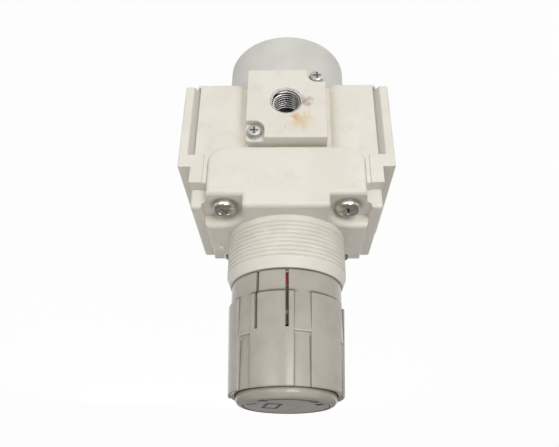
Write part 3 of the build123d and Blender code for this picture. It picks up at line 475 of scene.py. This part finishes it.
# ---------------------------------------------------------------- threads of the three ports
GAUGE_PITCH, GAUGE_CREST = 0.00115, 0.42      # a crest's width is a share of the pitch
PIPE_PITCH, PIPE_CREST = 0.001814, 0.12
PIPE_THREAD_DEPTH = 0.0010
RIDGE_FOOT = 0.94                 # a ridge's width at the wall, a share of the pitch
THREAD_START = 0.0003             # what the thread leaves plain of its mount's length
MOUTH_DEPTH = 0.0002              # of the gauge port's thread, behind the plate's face
THREAD_BITE = 0.00004             # how far a ridge reaches into the wall
THREAD_TURN = math.radians(-20)   # where a ridge starts
FADE_START = 0.05                 # a ridge's height at its very ends, a share of the full height
FADE_TURNS = 1 / 6                # how soon a ridge is full, at both ends
RIDGE_STEPS = 72                  # a turn
SHARP_EDGE = math.radians(35)


def new_piece(name, mesh, material, body):
    piece = bpy.data.objects.new(name, mesh)
    scene.collection.objects.link(piece)
    mesh.materials.append(material)
    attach(piece, body)


def helical_ridge(name, wall_radius, crest_radius, pitch, length, crest_share):
    """A thread's ridge about the Z axis from z = 0 to length, closed and fading out at both ends."""
    foot_half = pitch * RIDGE_FOOT / 2
    crest_half = pitch * crest_share / 2
    profile = [(0.0, -foot_half), (1.0, -crest_half), (1.0, crest_half), (0.0, foot_half)]
    turns = (length - pitch) / pitch
    mesh = bpy.data.meshes.new(name)
    bm = bmesh.new()
    rings = []
    for i in range(int(turns * RIDGE_STEPS) + 1):
        turn = i / RIDGE_STEPS
        fade = min(1.0, FADE_START + turn / FADE_TURNS, FADE_START + (turns - turn) / FADE_TURNS)
        angle = 2 * math.pi * turn
        z = pitch / 2 + pitch * turn
        ring = []
        for out, dz in profile:
            r = wall_radius + (crest_radius - wall_radius) * out * fade
            ring.append(bm.verts.new((r * math.cos(angle), r * math.sin(angle), z + dz)))
        rings.append(ring)
    for a, b in zip(rings, rings[1:]):
        for j in range(4):
            k = (j + 1) % 4
            bm.faces.new((a[j], a[k], b[k], b[j]))
    bm.faces.new(rings[0][::-1])
    bm.faces.new(rings[-1])
    bmesh.ops.recalc_face_normals(bm, faces=bm.faces)
    bm.to_mesh(mesh)
    bm.free()
    for polygon in mesh.polygons:
        polygon.use_smooth = True
    mesh.set_sharp_from_angle(angle=SHARP_EDGE)
    return mesh


def port_thread(mount_name, mouth_out, pitch, depth, crest_share, material):
    """A thread in a mount's bore. mouth_out is how far out along the axis it starts."""
    mount = mounts[mount_name]
    wall = mount["dims"]["r_mm"] * MM
    length = mount["dims"]["length_mm"] * MM
    out = Vector(mount["axis"])
    mesh = helical_ridge(mount_name + "_thread", wall + THREAD_BITE, wall - depth, pitch,
                         length - THREAD_START, crest_share)
    mesh.transform(Matrix.Rotation(THREAD_TURN, 4, "Z"))
    mesh.transform(out.to_track_quat("Z", "Y").to_matrix().to_4x4())
    mouth = Vector(mount["pos_m"])
    mouth += out * (mouth_out - mouth.dot(out))
    mesh.transform(Matrix.Translation(mouth - out * (length - THREAD_START / 2)))
    new_piece(mount_name + "_thread", mesh, material, "casing")


port_thread("gauge_port", -plate_low.y - MOUTH_DEPTH, GAUGE_PITCH, GAUGE_THREAD_DEPTH, GAUGE_CREST,
            cut_thread())
for port in ("inlet_port", "outlet_port"):
    port_thread(port, body_high.x, PIPE_PITCH, PIPE_THREAD_DEPTH, PIPE_CREST, paint)

# ---------------------------------------------------------------- generic marks on the knob's end, and an arc of painted shade
ARROW_RADIUS, ARROW_STROKE = 0.01205, 0.0007
ARROW_START, ARROW_END = 226, 303             # degrees
ARROW_HEAD = (0.0026, 0.0030)
# a dark arc of painted shade over the gap round the end cap
GAP_SHADE_RADIUS, GAP_SHADE_STROKE = 0.01395, 0.0005
GAP_SHADE_START, GAP_SHADE_END = 18, 162
SIGN = (0.0032, 0.0008)
MINUS_PLACE, PLUS_PLACE, SIGN_TURN = (0.0108, -0.0040), (-0.0104, -0.0036), 20
FRAME_PLACE, FRAME_TURN = (0.0046, -0.0006), -14
FRAME_WIDTH, FRAME_HEIGHT, FRAME_STROKE = 0.0052, 0.0089, 0.0009
OVERLAP = 0.0001
MARK_RISE, MARK_SINK = 0.00006, 0.0003
PIP_RADIUS, PIP_RISE, PIP_SINK = 0.0014, 0.0010, 0.0008
PIP_PLACE = Vector((0.0244, 0.0050, BLOCK_TOP))


def round_points(radius, start, end, steps):
    """Points round the origin from one angle to another, in degrees."""
    angles = [math.radians(start + (end - start) * i / steps) for i in range(steps + 1)]
    return [(radius * math.cos(a), radius * math.sin(a)) for a in angles]


def arc_band(radius, stroke, start, end):
    """Outline of a part of a flat ring."""
    return (round_points(radius + stroke / 2, start, end, 24)
            + round_points(radius - stroke / 2, end, start, 24))


def arrow_head(radius, angle, size, sign):
    """A triangle on a circle about the origin, pointing along the circle."""
    a = math.radians(angle)
    side = Vector((math.cos(a), math.sin(a)))
    ahead = Vector((-math.sin(a), math.cos(a))) * sign
    centre = radius * side
    length, width = size
    return [tuple(centre + ahead * length), tuple(centre + side * width / 2),
            tuple(centre - side * width / 2)]


def bar(centre, size, turn):
    a = math.radians(turn)
    along, across = Vector((math.cos(a), math.sin(a))), Vector((-math.sin(a), math.cos(a)))
    return [tuple(Vector(centre) + along * x * size[0] / 2 + across * y * size[1] / 2)
            for x, y in ((-1, -1), (1, -1), (1, 1), (-1, 1))]


def window():
    """Four bars that make a small upright frame."""
    turn = Matrix.Rotation(math.radians(FRAME_TURN), 2)
    level = ((FRAME_HEIGHT - FRAME_STROKE) / 2, (FRAME_WIDTH, FRAME_STROKE))
    upright = ((FRAME_WIDTH - FRAME_STROKE) / 2, (FRAME_STROKE, FRAME_HEIGHT - 2 * FRAME_STROKE + OVERLAP))
    bars = [(Vector((0, sign * level[0])), level[1]) for sign in (-1, 1)]
    bars += [(Vector((sign * upright[0], 0)), upright[1]) for sign in (-1, 1)]
    return [bar(Vector(FRAME_PLACE) + turn @ place, size, FRAME_TURN) for place, size in bars]


def raised(name, outlines, matrix, rise, sink):
    """Closed plates over flat outlines, placed by a matrix whose Z is the way out of the surface."""
    mesh = bpy.data.meshes.new(name)
    bm = bmesh.new()
    for outline in outlines:
        lower = [bm.verts.new((x, y, -sink)) for x, y in outline]
        upper = [bm.verts.new((x, y, rise)) for x, y in outline]
        bm.faces.new(lower[::-1])
        bm.faces.new(upper)
        for i in range(len(outline)):
            j = (i + 1) % len(outline)
            bm.faces.new((lower[i], lower[j], upper[j], upper[i]))
    bmesh.ops.recalc_face_normals(bm, faces=bm.faces)
    bm.to_mesh(mesh)
    bm.free()
    mesh.transform(matrix)
    return mesh


knob_axis = (disc_low + disc_high) / 2
end_face = Matrix.Translation(Vector((knob_axis.x, knob_axis.y, disc_high.z)))
marks = [arc_band(ARROW_RADIUS, ARROW_STROKE, ARROW_START, ARROW_END),
         # the arc of painted shade over the end cap's gap
         arc_band(GAP_SHADE_RADIUS, GAP_SHADE_STROKE, GAP_SHADE_START, GAP_SHADE_END),
         arrow_head(ARROW_RADIUS, ARROW_END, ARROW_HEAD, 1),
         arrow_head(ARROW_RADIUS, ARROW_START, ARROW_HEAD, -1),
         bar(MINUS_PLACE, SIGN, SIGN_TURN),
         bar(PLUS_PLACE, SIGN, -SIGN_TURN),
         bar(PLUS_PLACE, SIGN[::-1], -SIGN_TURN)] + window()
new_piece("knob_end_marks_and_shade", raised("knob_end_marks_and_shade", marks, end_face, MARK_RISE, MARK_SINK),
          moulded("mark_and_shade_grey", (0.085, 0.085, 0.085), (0.060, 0.060, 0.060), 0.4), "knob")

# a small cast pip on the bonnet's block
pip = round_points(PIP_RADIUS, 0, 360, 32)[:-1]
new_piece("cast_pip", raised("cast_pip", [pip], Matrix.Translation(PIP_PLACE), PIP_RISE, PIP_SINK),
          paint, "casing")

# ---------------------------------------------------------------- floor, backdrop and light
FLOOR_HALF, FLOOR_DROP = 4, 0.00005
FLOOR_GLOW = 0.965
DAYLIGHT, WHITE = 0.40, 1.0       # the world's strength as light, and as it is seen
HIGH_DIMMING = 0.22               # what mirrors lose of it above the horizon
HORIZON_LOW, HORIZON_HIGH = 0.02, 0.13        # between them it fades, as the height of a direction
LIT_POINT = Vector((0, 0, 0.07))  # what the lamps point at


def floor_white():
    """White to the camera and in reflections, and a plain diffuse surface to light."""
    material = bpy.data.materials.new("floor_white")
    material.use_nodes = True
    material.node_tree.nodes.clear()
    g = Graph(material.node_tree)
    rays = g.add("ShaderNodeLightPath").outputs
    seen = g.math("MAXIMUM", rays["Is Camera Ray"], rays["Is Glossy Ray"])
    seen = g.math("MAXIMUM", seen, rays["Is Transmission Ray"])
    diffuse = g.add("ShaderNodeBsdfDiffuse", {"Color": (0.80, 0.80, 0.79)})
    glow = g.add("ShaderNodeEmission", {"Strength": 1.0})
    mix = g.add("ShaderNodeMixShader", {
        "Fac": g.times(seen, FLOOR_GLOW), 1: diffuse.outputs[0], 2: glow.outputs[0],
    })
    g.add("ShaderNodeOutputMaterial", {"Surface": mix.outputs[0]})
    return material


def studio_world():
    """White where it is seen. Mirrors see it white at the horizon and dimmer higher up."""
    world = bpy.data.worlds.new("studio")
    world.use_nodes = True
    g = Graph(world.node_tree)
    rays = g.add("ShaderNodeLightPath").outputs
    direction = g.add("ShaderNodeTexCoord").outputs["Generated"]
    height = g.add("ShaderNodeSeparateXYZ", {"Vector": direction}).outputs["Z"]
    seen = g.math("MAXIMUM", rays["Is Camera Ray"], rays["Is Transmission Ray"])
    mirrored = g.times(rays["Is Glossy Ray"], g.scale(height, 1.0, 0.0, HORIZON_LOW, HORIZON_HIGH))
    strength = g.scale(g.math("MAXIMUM", seen, mirrored), DAYLIGHT, WHITE)
    high_up = g.math("SUBTRACT", rays["Is Glossy Ray"], mirrored)
    background = g.tree.nodes["Background"].inputs
    g.put(background["Color"], (1.0, 1.0, 1.0))
    g.put(background["Strength"], g.math("SUBTRACT", strength, g.times(high_up, HIGH_DIMMING)))
    return world


def lamp(name, place, size, power):
    """A soft rectangular lamp."""
    data = bpy.data.lights.new(name, "AREA")
    data.shape = "RECTANGLE"
    data.size, data.size_y = size
    data.energy = power
    light = bpy.data.objects.new(name, data)
    scene.collection.objects.link(light)
    light.location = place
    light.rotation_mode = "QUATERNION"
    light.rotation_quaternion = (LIT_POINT - Vector(place)).to_track_quat("-Z", "Y")
    return light


floor_mesh = bpy.data.meshes.new("floor")
corners = [(x * FLOOR_HALF, y * FLOOR_HALF, 0) for x, y in ((-1, -1), (1, -1), (1, 1), (-1, 1))]
floor_mesh.from_pydata(corners, [], [(0, 1, 2, 3)])
floor_mesh.materials.append(floor_white())
floor = bpy.data.objects.new("floor", floor_mesh)
scene.collection.objects.link(floor)
floor.location.z = -FLOOR_DROP

scene.world = studio_world()
lamp("key", (-0.20, -0.78, 0.12), (0.40, 0.45), 3.7)
lamp("fill", (0.40, -0.75, 0.08), (0.4, 0.4), 1.3)
lamp("back", (0.25, 0.45, 0.95), (0.6, 0.4), 0.8)
rear = lamp("rear", (0.15, 0.80, 0.22), (0.4, 0.4), 1.6)
rear.visible_glossy = False       # it would shine in the knob's end
lamp("above", (0.0, -0.05, 0.95), (0.6, 0.6), 0.1)
scene.view_settings.view_transform = "Standard"
